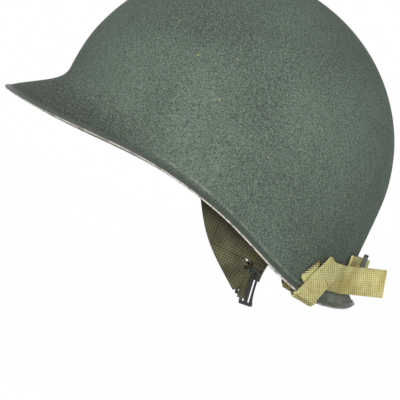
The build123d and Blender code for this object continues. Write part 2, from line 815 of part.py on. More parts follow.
front_leg = yoke_points(front_leg_shares)
rear_leg = yoke_points(rear_leg_shares)
cross_leg = yoke_points(cross_leg_shares)
rear_widths = [webbing_width * share for share in rear_leg_width_shares]
bar_radius = yoke_buckle_bar / 2
bar_lean = radians(yoke_buckle_lean)
bar_origin = yoke_plane.from_local_coords(
    Vector(front_leg[-1][0] + running_gap + bar_radius, front_leg[-1][1], 0)
)
bar_run = yoke_run * -sin(bar_lean) + Vector(0, 0, 1) * cos(bar_lean)
bar_plane = Plane(origin=bar_origin, x_dir=yoke_out, z_dir=bar_run)
sleeve_length = webbing_width * sleeve_share
slot_length = yoke_buckle_length - 2 * yoke_buckle_bar
front_widths = [webbing_width * share for share in front_leg_width_shares]
front_leg_part = flat_strap(yoke_plane, front_leg, front_widths)
rear_leg_part = flat_strap(yoke_plane, rear_leg, rear_widths)
cross_leg_part = flat_strap(
    yoke_plane.offset(webbing_wall), cross_leg, [webbing_width] * len(cross_leg)
)
buckle_loop = webbing_loop(bar_plane, bar_radius, sleeve_length)
with BuildPart() as left_yoke:
    add([front_leg_part, rear_leg_part, cross_leg_part, buckle_loop])
    with BuildSketch(bar_plane):
        Circle(bar_radius + running_gap)
    extrude(amount=webbing_width, both=True, mode=Mode.SUBTRACT)
    with BuildSketch(bar_plane.offset(slot_length / 2 - running_gap)):
        Circle(yoke_notch_radius)
    extrude(amount=yoke_buckle_bar + 2 * running_gap, mode=Mode.SUBTRACT)
    split(bisect_by=Plane.XY.offset(yoke_fold_height), keep=Keep.BOTTOM)

# Left yoke buckle: three bars, the first one round and held in the yoke's loop
slot_start = bar_radius + running_gap + webbing_wall + soft_gap
bar_middles = (slot_start + bar_radius, slot_start + 3 * bar_radius + yoke_buckle_slot)
buckle_width = bar_middles[1] + 2 * bar_radius
plate_start, plate_end = -bar_radius / 2, buckle_width - bar_radius
yoke_buckle_x = yoke_run * cos(radians(yoke_buckle_turn)) + yoke_out * sin(radians(yoke_buckle_turn))
yoke_buckle_x = yoke_buckle_x - bar_run * yoke_buckle_x.dot(bar_run)
yoke_buckle_plane = Plane(
    origin=bar_origin, x_dir=yoke_buckle_x, z_dir=yoke_buckle_x.cross(bar_run).normalized()
)
with BuildPart() as left_yoke_buckle:
    with BuildSketch(yoke_buckle_plane):
        with Locations(((plate_end + plate_start) / 2, 0)):
            RectangleRounded(plate_end - plate_start, yoke_buckle_length, bar_radius)
        with Locations(((slot_start - bar_radius) / 2, 0)):
            Rectangle(slot_start + bar_radius, slot_length, mode=Mode.SUBTRACT)
        with Locations((bar_middles[0] + bar_radius + yoke_buckle_slot / 2, 0)):
            Rectangle(yoke_buckle_slot, slot_length, mode=Mode.SUBTRACT)
        with Locations((buckle_width - bar_radius, 0)):
            Ellipse(yoke_buckle_waist, slot_length / 2, mode=Mode.SUBTRACT)
    extrude(amount=yoke_buckle_wall / 2, both=True)
    with BuildSketch(bar_plane):
        Circle(bar_radius)
    extrude(amount=(slot_length + bar_radius) / 2, both=True)

# The right side mirrors the left
with BuildPart() as right_yoke_ends:
    mirror(left_yoke_ends.part, about=Plane.XZ)
with BuildPart() as right_yoke_rivets:
    mirror(left_yoke_rivets.part, about=Plane.XZ)
with BuildPart() as right_yoke:
    mirror(left_yoke.part, about=Plane.XZ)
with BuildPart() as right_yoke_buckle:
    mirror(left_yoke_buckle.part, about=Plane.XZ)

steel_shell.part.label = "steel_shell"
rim_edging.part.label = "rim_edging"
left_bail.part.label = "left_bail"
right_bail.part.label = "right_bail"
left_chinstrap.part.label = "left_chinstrap"
right_chinstrap.part.label = "right_chinstrap"
chinstrap_buckle.part.label = "chinstrap_buckle"
liner_shell.part.label = "liner_shell"
front_eyelet.part.label = "front_eyelet"
suspension_band.part.label = "suspension_band"
crown_webs.part.label = "crown_webs"
crown_lace.part.label = "crown_lace"
band_rivets.part.label = "band_rivets"
band_washers.part.label = "band_washers"
sweatband.part.label = "sweatband"
sweatband_clips.part.label = "sweatband_clips"
nape_strap.part.label = "nape_strap"
nape_rivets.part.label = "nape_rivets"
left_yoke_ends.part.label = "left_yoke_ends"
right_yoke_ends.part.label = "right_yoke_ends"
left_yoke_rivets.part.label = "left_yoke_rivets"
right_yoke_rivets.part.label = "right_yoke_rivets"
left_yoke.part.label = "left_yoke"
right_yoke.part.label = "right_yoke"
left_yoke_buckle.part.label = "left_yoke_buckle"
right_yoke_buckle.part.label = "right_yoke_buckle"

export_step(steel_shell.part, "parts/steel_shell.step")
export_step(rim_edging.part, "parts/rim_edging.step")
export_step(left_bail.part, "parts/left_bail.step")
export_step(right_bail.part, "parts/right_bail.step")
export_step(left_chinstrap.part, "parts/left_chinstrap.step")
export_step(right_chinstrap.part, "parts/right_chinstrap.step")
export_step(chinstrap_buckle.part, "parts/chinstrap_buckle.step")
export_step(liner_shell.part, "parts/liner_shell.step")
export_step(front_eyelet.part, "parts/front_eyelet.step")
export_step(suspension_band.part, "parts/suspension_band.step")
export_step(crown_webs.part, "parts/crown_webs.step")
export_step(crown_lace.part, "parts/crown_lace.step")
export_step(band_rivets.part, "parts/band_rivets.step")
export_step(band_washers.part, "parts/band_washers.step")
export_step(sweatband.part, "parts/sweatband.step")
export_step(sweatband_clips.part, "parts/sweatband_clips.step")
export_step(nape_strap.part, "parts/nape_strap.step")
export_step(nape_rivets.part, "parts/nape_rivets.step")
export_step(left_yoke_ends.part, "parts/left_yoke_ends.step")
export_step(right_yoke_ends.part, "parts/right_yoke_ends.step")
export_step(left_yoke_rivets.part, "parts/left_yoke_rivets.step")
export_step(right_yoke_rivets.part, "parts/right_yoke_rivets.step")
export_step(left_yoke.part, "parts/left_yoke.step")
export_step(right_yoke.part, "parts/right_yoke.step")
export_step(left_yoke_buckle.part, "parts/left_yoke_buckle.step")
export_step(right_yoke_buckle.part, "parts/right_yoke_buckle.step")
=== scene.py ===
"""Looks of a steel pot helmet, built around its packed construction model."""

from math import cos, pi, radians, sin

import bmesh
import bpy
from bpy.props import FloatProperty, FloatVectorProperty, PointerProperty
from mathutils import Matrix, Vector
from mathutils.bvhtree import BVHTree


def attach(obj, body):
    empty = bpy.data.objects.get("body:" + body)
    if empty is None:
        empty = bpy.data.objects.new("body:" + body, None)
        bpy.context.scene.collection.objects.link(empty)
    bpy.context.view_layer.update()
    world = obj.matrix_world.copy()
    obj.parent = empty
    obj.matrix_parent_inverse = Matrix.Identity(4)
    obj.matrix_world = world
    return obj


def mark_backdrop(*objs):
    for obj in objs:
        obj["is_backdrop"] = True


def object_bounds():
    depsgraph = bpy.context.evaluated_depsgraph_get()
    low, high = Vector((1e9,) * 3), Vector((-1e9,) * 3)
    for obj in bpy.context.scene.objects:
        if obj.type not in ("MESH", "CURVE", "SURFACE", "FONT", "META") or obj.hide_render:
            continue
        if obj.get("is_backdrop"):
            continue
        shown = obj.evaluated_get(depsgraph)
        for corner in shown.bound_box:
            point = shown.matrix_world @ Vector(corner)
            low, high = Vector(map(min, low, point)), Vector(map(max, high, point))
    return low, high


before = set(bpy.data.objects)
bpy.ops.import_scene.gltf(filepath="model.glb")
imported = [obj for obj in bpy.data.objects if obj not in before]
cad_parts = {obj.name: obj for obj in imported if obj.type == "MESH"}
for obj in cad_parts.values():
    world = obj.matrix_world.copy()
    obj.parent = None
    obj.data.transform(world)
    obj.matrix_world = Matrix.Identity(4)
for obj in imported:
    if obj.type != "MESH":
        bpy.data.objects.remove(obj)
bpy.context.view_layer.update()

bl_info = {
    "name": "Steel pot helmet",
    "version": (1, 0, 0),
    "blender": (4, 5, 0),
    "location": "View3D > Sidebar > Helmet",
    "description": "Paint, webbing, leather and stitching for a steel pot helmet",
    "category": "Object",
}


def linear(red, green, blue):
    """A colour seen on a screen, as the shader takes it."""
    return tuple(
        v / 12.92 if v <= 0.04045 else ((v + 0.055) / 1.055) ** 2.4
        for v in (red / 255, green / 255, blue / 255)
    )


# The picture: how far the helmet leans in it, where its camera stands, and how wide it is in
# metres at the helmet and in pixels
TILT = radians(22.0)
EYE = Vector((0.0023, -1.7, 0.0326))
FRAME_WIDTH = 0.272
PICTURE = 400
SENSOR = 36.0

# Places in the picture, across and down. A loose thread has its turn in degrees as well.
THREADS = (
    (352, 262, 20), (354, 264, 70), (357, 263, -30), (359, 265, 10), (355, 266, -60), (361, 266, 40),
)
STITCH_START = (320, 269)
STITCH_END = (330, 289)
FOLD_PLACES = ((319, 262), (313, 267.5), (307, 273), (301, 278.5))

# A chip in the paint has its places in the picture and its radius
CHIPS = (
    (198, 55, 0.0022), (268, 157, 0.002), (272, 153, 0.0016), (220, 100, 0.0018),
    (213, 145, 0.0016), (300, 70, 0.0014), (180, 20, 0.0016), (345, 195, 0.002),
    (150, 90, 0.0013), (238, 60, 0.0013), (322, 130, 0.0013), (120, 130, 0.0012),
)

# Small pieces of the straps. The last four go by the length of a stitch or a thread.
FOLD_WIDTH = 0.006
FOLD_WALL = 0.0011
FOLD_LIFT = 0.0018
STITCH_PITCH = 1.6
STITCH_SIZES = (1.0, 0.28, 0.24)
THREAD_SIZES = (1.0, 0.13, 0.13)
THREAD_CURL = 0.35

# The rim's height is read off the edging at equal turns from the back round to the visor
RIM_LOW = -0.005
RIM_SPAN = 0.07
RIM_STOPS = 31

# Turns from the back, as shares of a half circle, between which a mark on the paint comes or goes:
# wear, painted shade, sheen and highlight
VISOR_TURNS = (0.52, 0.8)
FRONT_TURNS = (0.1, 0.26)
LIP_TURNS = (0.12, 0.24)
REAR_TURNS = (0.5, 0.68)

# Heights above the rim between which it does. A band that fades in and out has the width of its fade
# as well.
VISOR_SHADE = (0.01, 0.029)
RIM_SHADE_BAND = (0.005, 0.0068)
LIP_RISE = (0.006, 0.014)
BRUSHED_RISE = (0.016, 0.026, 0.01)
CREASE_LINE_RISE = (0.0063, 0.0073, 0.0009)
BRIGHT_RISE = (0.0007, 0.0012)

# Heights in the model between which a yoke's webbing darkens upwards with painted shade
YOKE_SHADE_HEIGHTS = (0.004, 0.044)

# How much a fine grain adds to a coarser one
YARN_SHARE = 0.4
SAND_SHARE = 0.6

# Colours of the wear on the paint, and of the shade, sheen and highlight painted on it
PAINTED_SHADE = linear(54, 62, 54)
LIP_WEAR_AND_SHEEN = linear(178, 180, 166)
BRUSHED_PAINT = linear(146, 152, 138)
WORN_AND_LIT_CREASE = linear(164, 168, 152)
SCUFFED_PAINT = linear(140, 146, 128)
OLD_CHIP = linear(150, 146, 108)
FRESH_CHIP = linear(172, 156, 92)
LIGHT_GRAIN = linear(158, 172, 158)
DARK_GRAIN = linear(52, 63, 54)

# Colours of the metal, the cloth and the floor
EDGING_PAINT = linear(80, 88, 78)
EDGING_CHIP = linear(150, 150, 138)
BARE_STEEL = linear(236, 234, 226)
WIRE_DARK = linear(96, 98, 92)
WIRE_BRIGHT = linear(160, 160, 150)
BLACK_FINISH = linear(62, 66, 65)
BLACK_RUBBED = linear(150, 156, 150)
FIBRE_DARK = linear(62, 64, 48)
YOKE_PAINTED_SHADE = linear(34, 36, 26)
OLIVE_FADED = linear(120, 116, 92)
OLIVE_GAP = linear(52, 54, 38)
YOKE_YARN = linear(134, 132, 98)
YOKE_GAP = linear(38, 40, 28)
KHAKI_GAP = linear(166, 156, 102)
LACE = linear(150, 144, 116)
LACE_DARK = linear(110, 104, 80)
LEATHER_DARK = linear(78, 50, 30)
THREAD = linear(150, 138, 90)
THREAD_DARK = linear(110, 100, 64)
FLOOR_WHITE = linear(235, 235, 232)

# Where a Mix node keeps its colours
COLOUR_A = 6
COLOUR_B = 7
COLOUR_OUT = 2

# The stage. A lamp has its place to the right in the picture, its place away from the camera
# and its rise in the picture, then its size and its power.
FLOOR_DROP = 0.02
FLOOR_SIZE = 6.0
FLOOR_GLOW = 0.985
WORLD_LIGHT = 0.14
LAMP_AIM = Vector((0, 0, 0.09))
LAMP_HEIGHT = 0.1
LAMPS = (
    ("Key lamp", -0.3, -1.5, 0.25, 0.9, 15.5),
    ("Back lamp", 0.0, 1.7, 0.0, 1.2, 14.0),
    ("Fill lamp", 0.5, -1.5, -0.1, 0.9, 8.0),
)


class HelmetPaint(bpy.types.PropertyGroup):
    """Colours and wear of the painted steel and the fibre liner."""

    olive: FloatVectorProperty(
        name="Paint", description="Main colour of the shell's paint", subtype="COLOR",
        size=3, min=0, max=1, default=linear(105, 124, 110),
    )
    shade: FloatVectorProperty(
        name="Dark paint", description="Colour of the darker areas of the paint",
        subtype="COLOR", size=3, min=0, max=1, default=linear(78, 93, 81),
    )
    grain: FloatProperty(
        name="Grain", description="Size of one grain of the rough paint", unit="LENGTH",
        default=0.0009, min=0.0002, max=0.01,
    )
    wear: FloatProperty(
        name="Wear", description="How much of the paint shows scuffs", subtype="FACTOR",
        default=0.5, min=0, max=1,
    )
    fibre: FloatVectorProperty(
        name="Fibre", description="Colour of the moulded liner", subtype="COLOR",
        size=3, min=0, max=1, default=linear(84, 86, 66),
    )


class HelmetCloth(bpy.types.PropertyGroup):
    """Colours and yarn of the webbing, the leather and the lace."""

    khaki: FloatVectorProperty(
        name="Khaki", description="Colour of the chin straps", subtype="COLOR",
        size=3, min=0, max=1, default=linear(248, 242, 172),
    )
    tan: FloatVectorProperty(
        name="Tan", description="Colour of the chin straps where they are worn",
        subtype="COLOR", size=3, min=0, max=1, default=linear(208, 192, 120),
    )
    olive: FloatVectorProperty(
        name="Olive", description="Colour of the yokes and the suspension", subtype="COLOR",
        size=3, min=0, max=1, default=linear(98, 96, 68),
    )
    leather: FloatVectorProperty(
        name="Leather", description="Colour of the sweatband", subtype="COLOR",
        size=3, min=0, max=1, default=linear(122, 82, 50),
    )
    yarn: FloatProperty(
        name="Yarn", description="Spacing of the webbing's ribs", unit="LENGTH",
        default=0.0017, min=0.0003, max=0.01,
    )
    stitch: FloatProperty(
        name="Stitch", description="Length of one stitch", unit="LENGTH",
        default=0.0022, min=0.0005, max=0.01,
    )


def link(tree, source, target):
    tree.links.new(source, target)


def texture(tree, kind, vector, scale, detail=3.0):
    node = tree.nodes.new(kind)
    link(tree, vector, node.inputs["Vector"])
    node.inputs["Scale"].default_value = scale
    if "Detail" in node.inputs:
        node.inputs["Detail"].default_value = detail
    return node


def sums(tree, operation, *values):
    node = tree.nodes.new("ShaderNodeMath")
    node.operation = operation
    for i, value in enumerate(values):
        if isinstance(value, (int, float)):
            node.inputs[i].default_value = value
        else:
            link(tree, value, node.inputs[i])
    return node.outputs[0]


def times(tree, first, *others):
    """The product of masks and numbers."""
    for other in others:
        first = sums(tree, "MULTIPLY", first, other)
    return first


def inverse(tree, mask):
    return sums(tree, "SUBTRACT", 1.0, mask)


def between(tree, mask, least, most):
    """The mask, drawn in so that it runs from least to most."""
    return sums(tree, "MULTIPLY_ADD", mask, most - least, least)


def mask_between(tree, value, low, high):
    """Nought up to low, one from high on, and a smooth rise between them."""
    node = tree.nodes.new("ShaderNodeMapRange")
    node.interpolation_type = "SMOOTHSTEP"
    link(tree, value, node.inputs["Value"])
    node.inputs["From Min"].default_value = low
    node.inputs["From Max"].default_value = high
    return node.outputs["Result"]


def mixed(tree, factor, first, second):
    node = tree.nodes.new("ShaderNodeMix")
    node.data_type = "RGBA"
    if isinstance(factor, (int, float)):
        node.inputs[0].default_value = factor
    else:
        link(tree, factor, node.inputs[0])
    for socket, value in ((node.inputs[COLOUR_A], first), (node.inputs[COLOUR_B], second)):
        if isinstance(value, bpy.types.NodeSocket):
            link(tree, value, socket)
        else:
            socket.default_value = (*value[:3], 1)
    return node.outputs[COLOUR_OUT]


def tinted(tree, base, colour, mask, strength):
    """The base with a colour laid over it where the mask is."""
    return mixed(tree, times(tree, mask, strength), base, colour)


def new_group(name, inputs, outputs):
    """An empty node group with those sockets, and its input and output nodes."""
    group = bpy.data.node_groups.new(name, "ShaderNodeTree")
    for label, kind, value in inputs:
        socket = group.interface.new_socket(label, in_out="INPUT", socket_type=kind)
        if value is not None:
            socket.default_value = value
    for label, kind in outputs:
        group.interface.new_socket(label, in_out="OUTPUT", socket_type=kind)
    return group, group.nodes.new("NodeGroupInput"), group.nodes.new("NodeGroupOutput")


def weave_group():
    """Rows of yarn: ribs across the webbing and dots where the yarns cross."""
    group, given, result = new_group(
        "Webbing weave",
        (("Vector", "NodeSocketVector", None), ("Ribs", "NodeSocketFloat", 760.0)),
        (("Height", "NodeSocketFloat"), ("Fade", "NodeSocketFloat")),
    )
    parts = group.nodes.new("ShaderNodeSeparateXYZ")
    link(group, given.outputs["Vector"], parts.inputs[0])
    rib, row = (
        sums(group, "SINE", times(group, parts.outputs[axis], given.outputs["Ribs"], 2 * pi))
        for axis in "XZ"
    )
    dots = between(group, times(group, rib, row), least=0.5, most=0.95)
    yarn = texture(group, "ShaderNodeTexNoise", given.outputs["Vector"], scale=900.0)
    height = sums(group, "ADD", dots, times(group, yarn.outputs[0], YARN_SHARE))
    link(group, height, result.inputs["Height"])
    fade = texture(group, "ShaderNodeTexNoise", given.outputs["Vector"], scale=70.0, detail=5.0)
    faded = mask_between(group, fade.outputs[0], low=0.35, high=0.7)
    link(group, faded, result.inputs["Fade"])
    return group


def scuff_group():
    """Irregular worn patches, as a mask."""
    group, given, result = new_group(
        "Scuffs",
        (
            ("Vector", "NodeSocketVector", None),
            ("Scale", "NodeSocketFloat", 60.0),
            ("Amount", "NodeSocketFloat", 0.5),
        ),
        (("Mask", "NodeSocketFloat"),),
    )
    noise = texture(group, "ShaderNodeTexNoise", given.outputs["Vector"], scale=60.0, detail=8.0)
    noise.inputs["Roughness"].default_value = 0.7
    link(group, given.outputs["Scale"], noise.inputs["Scale"])
    edge = sums(group, "SUBTRACT", 0.85, times(group, given.outputs["Amount"], 0.4))
    above = sums(group, "SUBTRACT", noise.outputs[0], edge)
    link(group, mask_between(group, above, low=0.0, high=0.06), result.inputs["Mask"])
    return group


def place_group(tree, group, vector, **values):
    node = tree.nodes.new("ShaderNodeGroup")
    node.node_tree = group
    link(tree, vector, node.inputs["Vector"])
    for name, value in values.items():
        node.inputs[name].default_value = value
    return node


def new_material(name, roughness, metallic=0.0):
    material = bpy.data.materials.new(name)
    material.use_nodes = True
    tree = material.node_tree
    shader = tree.nodes["Principled BSDF"]
    shader.inputs["Roughness"].default_value = roughness
    shader.inputs["Metallic"].default_value = metallic
    place = tree.nodes.new("ShaderNodeTexCoord").outputs["Object"]
    return material, tree, shader, place


def raise_surface(tree, shader, height, distance, strength):
    bump = tree.nodes.new("ShaderNodeBump")
    bump.inputs["Distance"].default_value = distance
    bump.inputs["Strength"].default_value = strength
    link(tree, height, bump.inputs["Height"])
    link(tree, bump.outputs["Normal"], shader.inputs["Normal"])


def rim_profile():
    """The rim's height at equal turns from the back round to the visor, off the edging."""
    shape = bmesh.new()
    shape.from_mesh(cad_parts["rim_edging"].data)
    bmesh.ops.remove_doubles(shape, verts=shape.verts, dist=1e-6)
    heights = []
    for i in range(RIM_STOPS):
        turn = pi * i / (RIM_STOPS - 1)
        out = Vector((cos(turn), sin(turn), 0))
        cut = shape.copy()
        found = bmesh.ops.bisect_plane(
            cut, geom=[*cut.verts, *cut.edges, *cut.faces], plane_co=(0, 0, 0),
            plane_no=(-out.y, out.x, 0),
        )["geom_cut"]
        places = [v.co for v in found if isinstance(v, bmesh.types.BMVert) and v.co.dot(out) > 0]
        heights.append(min(place.z for place in places))
        cut.free()
    shape.free()
    return heights


def rim_distance(tree, place):
    """How far a place is above the rim beside it, in metres."""
    parts = tree.nodes.new("ShaderNodeSeparateXYZ")
    link(tree, place, parts.inputs[0])
    side = sums(tree, "ABSOLUTE", parts.outputs["Y"])
    turn = sums(tree, "DIVIDE", sums(tree, "ARCTAN2", side, parts.outputs["X"]), pi)
    ramp = tree.nodes.new("ShaderNodeValToRGB")
    link(tree, turn, ramp.inputs[0])
    stops = ramp.color_ramp.elements
    while len(stops) < RIM_STOPS:
        stops.new(0.5)
    for i, height in enumerate(rim_profile()):
        share = (height - RIM_LOW) / RIM_SPAN
        stops[i].position = i / (RIM_STOPS - 1)
        stops[i].color = (share, share, share, 1)
    rim = sums(tree, "MULTIPLY_ADD", ramp.outputs[0], RIM_SPAN, RIM_LOW)
    return sums(tree, "SUBTRACT", parts.outputs["Z"], rim), turn


def band_of(tree, value, low, high, soft):
    """One between low and high, fading over soft on each side."""
    rise = mask_between(tree, value, low - soft, low)
    fall = mask_between(tree, value, high, high + soft)
    return times(tree, rise, inverse(tree, fall))


def bare_edging(scuffs):
    """Paint on the edging's side, worn to bright steel along its bottom fold."""
    material, tree, shader, place = new_material("Worn edging", roughness=0.55)
    above, _ = rim_distance(tree, place)
    rub = place_group(tree, scuffs, place, Scale=160.0, Amount=1.0).outputs[0]
    bright = inverse(tree, mask_between(tree, above, *BRIGHT_RISE))
    bright = times(tree, bright, between(tree, rub, least=0.4, most=1.0))
    chipped = place_group(tree, scuffs, place, Scale=240.0, Amount=0.45).outputs[0]
    base = mixed(tree, chipped, EDGING_PAINT, EDGING_CHIP)
    link(tree, mixed(tree, bright, base, BARE_STEEL), shader.inputs["Base Color"])
    fine = texture(tree, "ShaderNodeTexNoise", place, scale=900.0)
    raise_surface(tree, shader, fine.outputs[0], distance=0.0003, strength=0.5)
    return material


def shaded_rim(tree, base, above, turn, visor):
    """Painted shade low on the visor and in a narrow band along the rim."""
    # Painted shade on the low part of the visor
    low = inverse(tree, mask_between(tree, above, *VISOR_SHADE))
    base = tinted(tree, base, PAINTED_SHADE, times(tree, visor, low), strength=0.85)
    # Painted shade in a narrow band along the rim
    band = inverse(tree, mask_between(tree, above, *RIM_SHADE_BAND))
    band = times(tree, band, mask_between(tree, turn, *FRONT_TURNS))
    return tinted(tree, base, PAINTED_SHADE, band, strength=0.45)


def rim_wear_and_highlights(tree, base, place, above, turn, visor, scuffs):
    """Paint rubbed thin with a painted sheen on the rear lip, rubbed on the visor's fold, and worn
    with a painted highlight in a line beside the edging.
    """
    # Rubbed paint with a painted sheen on the rear lip
    lip = times(
        tree,
        inverse(tree, mask_between(tree, turn, *LIP_TURNS)),
        inverse(tree, mask_between(tree, above, *LIP_RISE)),
    )
    rub = place_group(tree, scuffs, place, Scale=90.0, Amount=0.95).outputs[0]
    lip = times(tree, lip, between(tree, rub, least=0.4, most=0.9))
    base = mixed(tree, lip, base, LIP_WEAR_AND_SHEEN)
    brushed = texture(tree, "ShaderNodeTexNoise", place, scale=520.0, detail=6.0)
    brushed = mask_between(tree, brushed.outputs[0], low=0.5, high=0.66)
    fold = times(tree, visor, band_of(tree, above, *BRUSHED_RISE))
    base = tinted(tree, base, BRUSHED_PAINT, times(tree, fold, brushed), strength=0.55)
    # Worn paint with a painted highlight in a line along the flare's crease beside the edging
    rub = place_group(tree, scuffs, place, Scale=110.0, Amount=0.9).outputs[0]
    line = band_of(tree, above, *CREASE_LINE_RISE)
    line = times(tree, line, between(tree, rub, least=0.25, most=0.75))
    rear = inverse(tree, mask_between(tree, turn, *REAR_TURNS))
    return mixed(tree, times(tree, line, rear), base, WORN_AND_LIT_CREASE)


def chipped_paint(tree, base, place, wear, scuffs):
    """Broad scuffs, fine old chips, and the larger fresh chips that the picture shows."""
    marks = place_group(tree, scuffs, place, Scale=38.0, Amount=wear).outputs[0]
    base = tinted(tree, base, SCUFFED_PAINT, marks, strength=0.4)
    chips = place_group(tree, scuffs, place, Scale=150.0, Amount=0.2).outputs[0]
    base = mixed(tree, chips, base, OLD_CHIP)
    ragged = texture(tree, "ShaderNodeTexNoise", place, scale=700.0, detail=4.0)
    shell = surface_tree("steel_shell")
    for across, down, radius in CHIPS:
        centre, _ = seen_at(shell, across, down)
        gap = tree.nodes.new("ShaderNodeVectorMath")
        gap.operation = "DISTANCE"
        link(tree, place, gap.inputs[0])
        gap.inputs[1].default_value = centre
        reach = times(tree, ragged.outputs[0], radius)
        near = sums(tree, "SUBTRACT", reach, gap.outputs["Value"])
        base = mixed(tree, mask_between(tree, near, low=0.0, high=0.0004), base, FRESH_CHIP)
    return base


def painted_steel(paint, scuffs):
    """Rough olive paint, with sand in it, worn as the picture shows, and with painted shade, sheen
    and highlights.
    """
    material, tree, shader, place = new_material("Rough olive paint", roughness=0.82)
    above, turn = rim_distance(tree, place)
    visor = mask_between(tree, turn, *VISOR_TURNS)
    broad = texture(tree, "ShaderNodeTexNoise", place, scale=14.0, detail=4.0)
    broad = mask_between(tree, broad.outputs[0], low=0.35, high=0.75)
    base = mixed(tree, broad, paint.olive, paint.shade)
    base = shaded_rim(tree, base, above, turn, visor)
    base = rim_wear_and_highlights(tree, base, place, above, turn, visor, scuffs)
    base = chipped_paint(tree, base, place, paint.wear, scuffs)
    grain = texture(tree, "ShaderNodeTexNoise", place, scale=1.1 / paint.grain, detail=8.0)
    sand = texture(tree, "ShaderNodeTexVoronoi", place, scale=1 / paint.grain)
    speckle = mask_between(tree, grain.outputs[0], low=0.44, high=0.68)
    base = tinted(tree, base, LIGHT_GRAIN, speckle, strength=0.55)
    pits = mask_between(tree, grain.outputs[0], low=0.5, high=0.34)
    base = tinted(tree, base, DARK_GRAIN, pits, strength=0.75)
    link(tree, base, shader.inputs["Base Color"])
    height = sums(tree, "ADD", grain.outputs[0], times(tree, sand.outputs[0], SAND_SHARE))
    raise_surface(tree, shader, height, distance=0.0007, strength=0.9)
    return material


def metal(name, dark, bright, roughness, metallic, amount, scuffs):
    """Metal with a dark finish that is rubbed bright in places."""
    material, tree, shader, place = new_material(name, roughness, metallic)
    rub = place_group(tree, scuffs, place, Scale=220.0, Amount=amount)
    link(tree, mixed(tree, rub.outputs[0], dark, bright), shader.inputs["Base Color"])
    fine = texture(tree, "ShaderNodeTexNoise", place, scale=500.0)
    raise_surface(tree, shader, fine.outputs[0], distance=0.0002, strength=0.4)
    return material


def webbing(name, main, worn, dark, ribs, turn, weave, gaps=0.0, painted_shade=0.0):
    """Woven cotton: that many ribs a metre, turned, with wider dark gaps, and painted shade towards
    the top if given.
    """
    material, tree, shader, place = new_material(name, roughness=0.95)
    mapping = tree.nodes.new("ShaderNodeMapping")
    mapping.inputs["Rotation"].default_value = (0, turn, 0)
    link(tree, place, mapping.inputs["Vector"])
    yarn = place_group(tree, weave, mapping.outputs[0], Ribs=ribs)
    base = mixed(tree, yarn.outputs["Fade"], main, worn)
    low = mask_between(tree, yarn.outputs["Height"], low=0.75 + gaps, high=0.35 + gaps)
    base = tinted(tree, base, dark, low, strength=0.7)
    # Painted shade: darker towards the top, for the shaded hollow of the yoke under the rim
    if painted_shade:
        parts = tree.nodes.new("ShaderNodeSeparateXYZ")
        link(tree, place, parts.inputs[0])
        high = mask_between(tree, parts.outputs["Z"], *YOKE_SHADE_HEIGHTS)
        base = tinted(tree, base, YOKE_PAINTED_SHADE, high, strength=painted_shade)
    link(tree, base, shader.inputs["Base Color"])
    raise_surface(tree, shader, yarn.outputs["Height"], distance=0.0005, strength=0.9)
    return material


def plain(name, main, dark, roughness, scale):
    """One colour with darker patches and a fine grain."""
    material, tree, shader, place = new_material(name, roughness)
    noise = texture(tree, "ShaderNodeTexNoise", place, scale, detail=6.0)
    patches = mask_between(tree, noise.outputs[0], low=0.35, high=0.7)
    link(tree, mixed(tree, patches, main, dark), shader.inputs["Base Color"])
    fine = texture(tree, "ShaderNodeTexVoronoi", place, scale=9 * scale)
    raise_surface(tree, shader, fine.outputs[0], distance=0.0003, strength=0.4)
    return material


def give(material, *nodes):
    """Each of those nodes takes that material alone."""
    for name in nodes:
        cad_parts[name].data.materials.clear()
        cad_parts[name].data.materials.append(material)


def groups():
    """The shared weave and scuffs, built the first time that they are asked for."""
    made = bpy.data.node_groups
    return (
        made.get("Webbing weave") or weave_group(),
        made.get("Scuffs") or scuff_group(),
    )


def blackened():
    made = bpy.data.materials.get("Blackened metal")
    return made or metal(
        "Blackened metal", BLACK_FINISH, BLACK_RUBBED, roughness=0.42, metallic=0.7, amount=0.35,
        scuffs=groups()[1],
    )


def right_of_picture():
    return Vector((cos(TILT), 0, sin(TILT)))


def top_of_picture():
    return Vector((-sin(TILT), 0, cos(TILT)))


def seen_at(tree, across, down):
    """The place and the outward normal where the picture shows that piece."""
    span = FRAME_WIDTH / PICTURE
    target = Vector((EYE.x, 0, EYE.z))
    target += right_of_picture() * ((across - PICTURE / 2) * span)
    target += top_of_picture() * ((PICTURE / 2 - down) * span)
    spot, normal, _, _ = tree.ray_cast(EYE, (target - EYE).normalized())
    if spot is None:
        raise RuntimeError(f"nothing at {across}, {down}")
    return spot, normal if normal.y < 0 else -normal


def folded_strip(shape, tree, places, width, wall, lift):
    """A flat strip that lies over a surface along places in the picture."""
    spots = [seen_at(tree, *place) for place in places]
    made = bmesh.ops.create_grid(shape, x_segments=len(spots) - 1, y_segments=1, size=1.0)["verts"]
    for vertex in made:
        i = round((vertex.co.x + 1) / 2 * (len(spots) - 1))
        spot, normal = spots[i]
        ahead, behind = spots[min(i + 1, len(spots) - 1)][0], spots[max(i - 1, 0)][0]
        side = normal.cross((ahead - behind).normalized()).normalized()
        vertex.co = spot + normal * lift + side * (vertex.co.y * width / 2)
    bmesh.ops.solidify(shape, geom=shape.faces[:], thickness=wall)


def stitch_row(shape, tree, start, end, length):
    """Short rounded stitches on the surface, from one place in the picture to another."""
    first, _ = seen_at(tree, *start)
    last, _ = seen_at(tree, *end)
    count = max(2, int((last - first).length / (STITCH_PITCH * length)))
    for i in range(count):
        share = (i + 0.5) / count
        spot, normal = seen_at(
            tree, start[0] + (end[0] - start[0]) * share, start[1] + (end[1] - start[1]) * share
        )
        along = (last - first).normalized()
        along = (along - normal * along.dot(normal)).normalized()
        turn = Matrix((along, normal.cross(along), normal)).transposed().to_4x4()
        made = bmesh.ops.create_icosphere(shape, subdivisions=1, radius=0.5)["verts"]
        bmesh.ops.scale(shape, vec=Vector(STITCH_SIZES) * length, verts=made)
        bmesh.ops.transform(shape, matrix=Matrix.Translation(spot) @ turn, verts=made)


